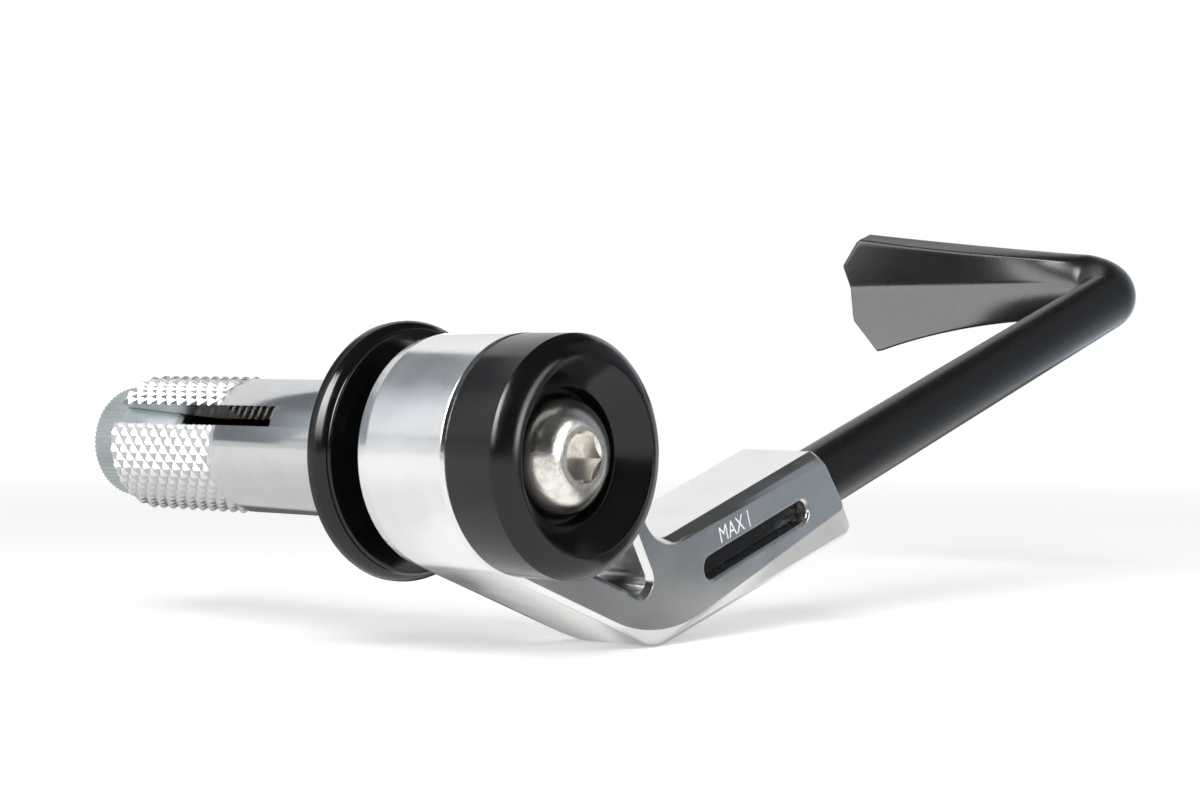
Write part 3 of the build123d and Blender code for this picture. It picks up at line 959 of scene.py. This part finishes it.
        # Painted light: a lit strip of table in front of the arm's face.
        if 0.021 < x < 0.03 and 0.005 < y < 0.018:
            return 1.05
        # Painted shadow under the arm, with a darker painted contact-shadow stripe under its front edge.
        under = part_way(y, 0.003, 0.008) * part_way(y, 0.075, 0.045)
        level += (0.58 - level) * under * part_way(x, 0.021, 0.017)
        return level + (0.36 - level) * under * math.exp(-((x - 0.0175) / 0.003) ** 2)

    def room(self, context):
        """The unlit room behind the camera, as a ring of cards."""
        corners = []
        levels = []
        for step in range(9):
            angle = math.radians(-96.0 + 16.0 * step)
            for height in (0.0, 0.62):
                corners.append((0.85 * math.cos(angle), 0.85 * math.sin(angle), height))
                levels.append(0.03)
        faces = [(2 * k, 2 * k + 2, 2 * k + 3, 2 * k + 1) for k in range(8)]
        self.card(context, "room_card", corners, faces, levels)

    def card(self, context, name, corners, faces, levels, colour=(1.0, 1.0, 1.0)):
        """A card that only reflections see, with a brightness at each corner."""
        mesh = bpy.data.meshes.new(name)
        mesh.from_pydata(corners, [], faces)
        glow = mesh.attributes.new("glow", "FLOAT", "POINT")
        for point, level in zip(glow.data, levels):
            point.value = level
        card = bpy.data.objects.new(name, mesh)
        context.scene.collection.objects.link(card)
        material = bpy.data.materials.new(name)
        material.use_nodes = True
        tree = material.node_tree
        tree.nodes.clear()
        level = tree.nodes.new("ShaderNodeAttribute")
        level.attribute_name = "glow"
        light = tree.nodes.new("ShaderNodeEmission")
        light.inputs["Color"].default_value = (*colour, 1.0)
        tree.links.new(level.outputs["Fac"], light.inputs["Strength"])
        output = tree.nodes.new("ShaderNodeOutputMaterial")
        tree.links.new(light.outputs[0], output.inputs["Surface"])
        material.cycles.emission_sampling = "NONE"
        mesh.materials.append(material)
        card.visible_camera = False
        card.visible_diffuse = False
        card.visible_shadow = False
        card.visible_transmission = False


# Panel and registration

class LEVERGUARD_PT_panel(bpy.types.Panel):
    """Lists the pieces, their sizes and colours"""
    bl_idname = "LEVERGUARD_PT_panel"
    bl_label = "Lever guard"
    bl_space_type = "VIEW_3D"
    bl_region_type = "UI"
    bl_category = "Lever guard"

    def draw(self, context):
        layout = self.layout
        for step in STEPS:
            layout.operator(step.bl_idname)
        for group in (
                context.scene.lever_guard_sizes, context.scene.lever_guard_colours, context.scene.lever_guard_stage):
            box = layout.box()
            for name in group.__annotations__:
                box.prop(group, name)


STEPS = (
    LEVERGUARD_OT_clamp,
    LEVERGUARD_OT_bolt,
    LEVERGUARD_OT_arm,
    LEVERGUARD_OT_guard,
    LEVERGUARD_OT_stage,
)
CLASSES = (LeverGuardSizes, LeverGuardColours, LeverGuardStage, *STEPS, LEVERGUARD_PT_panel)


def register():
    for item in CLASSES:
        bpy.utils.register_class(item)
    bpy.types.Scene.lever_guard_sizes = PointerProperty(type=LeverGuardSizes)
    bpy.types.Scene.lever_guard_colours = PointerProperty(type=LeverGuardColours)
    bpy.types.Scene.lever_guard_stage = PointerProperty(type=LeverGuardStage)


def unregister():
    del bpy.types.Scene.lever_guard_stage
    del bpy.types.Scene.lever_guard_colours
    del bpy.types.Scene.lever_guard_sizes
    for item in reversed(CLASSES):
        bpy.utils.unregister_class(item)


def main():
    register()
    bpy.ops.leverguard.clamp()
    bpy.ops.leverguard.bolt()
    bpy.ops.leverguard.arm()
    bpy.ops.leverguard.guard()
    bpy.ops.leverguard.stage()


if __name__ == "__main__":
    main()
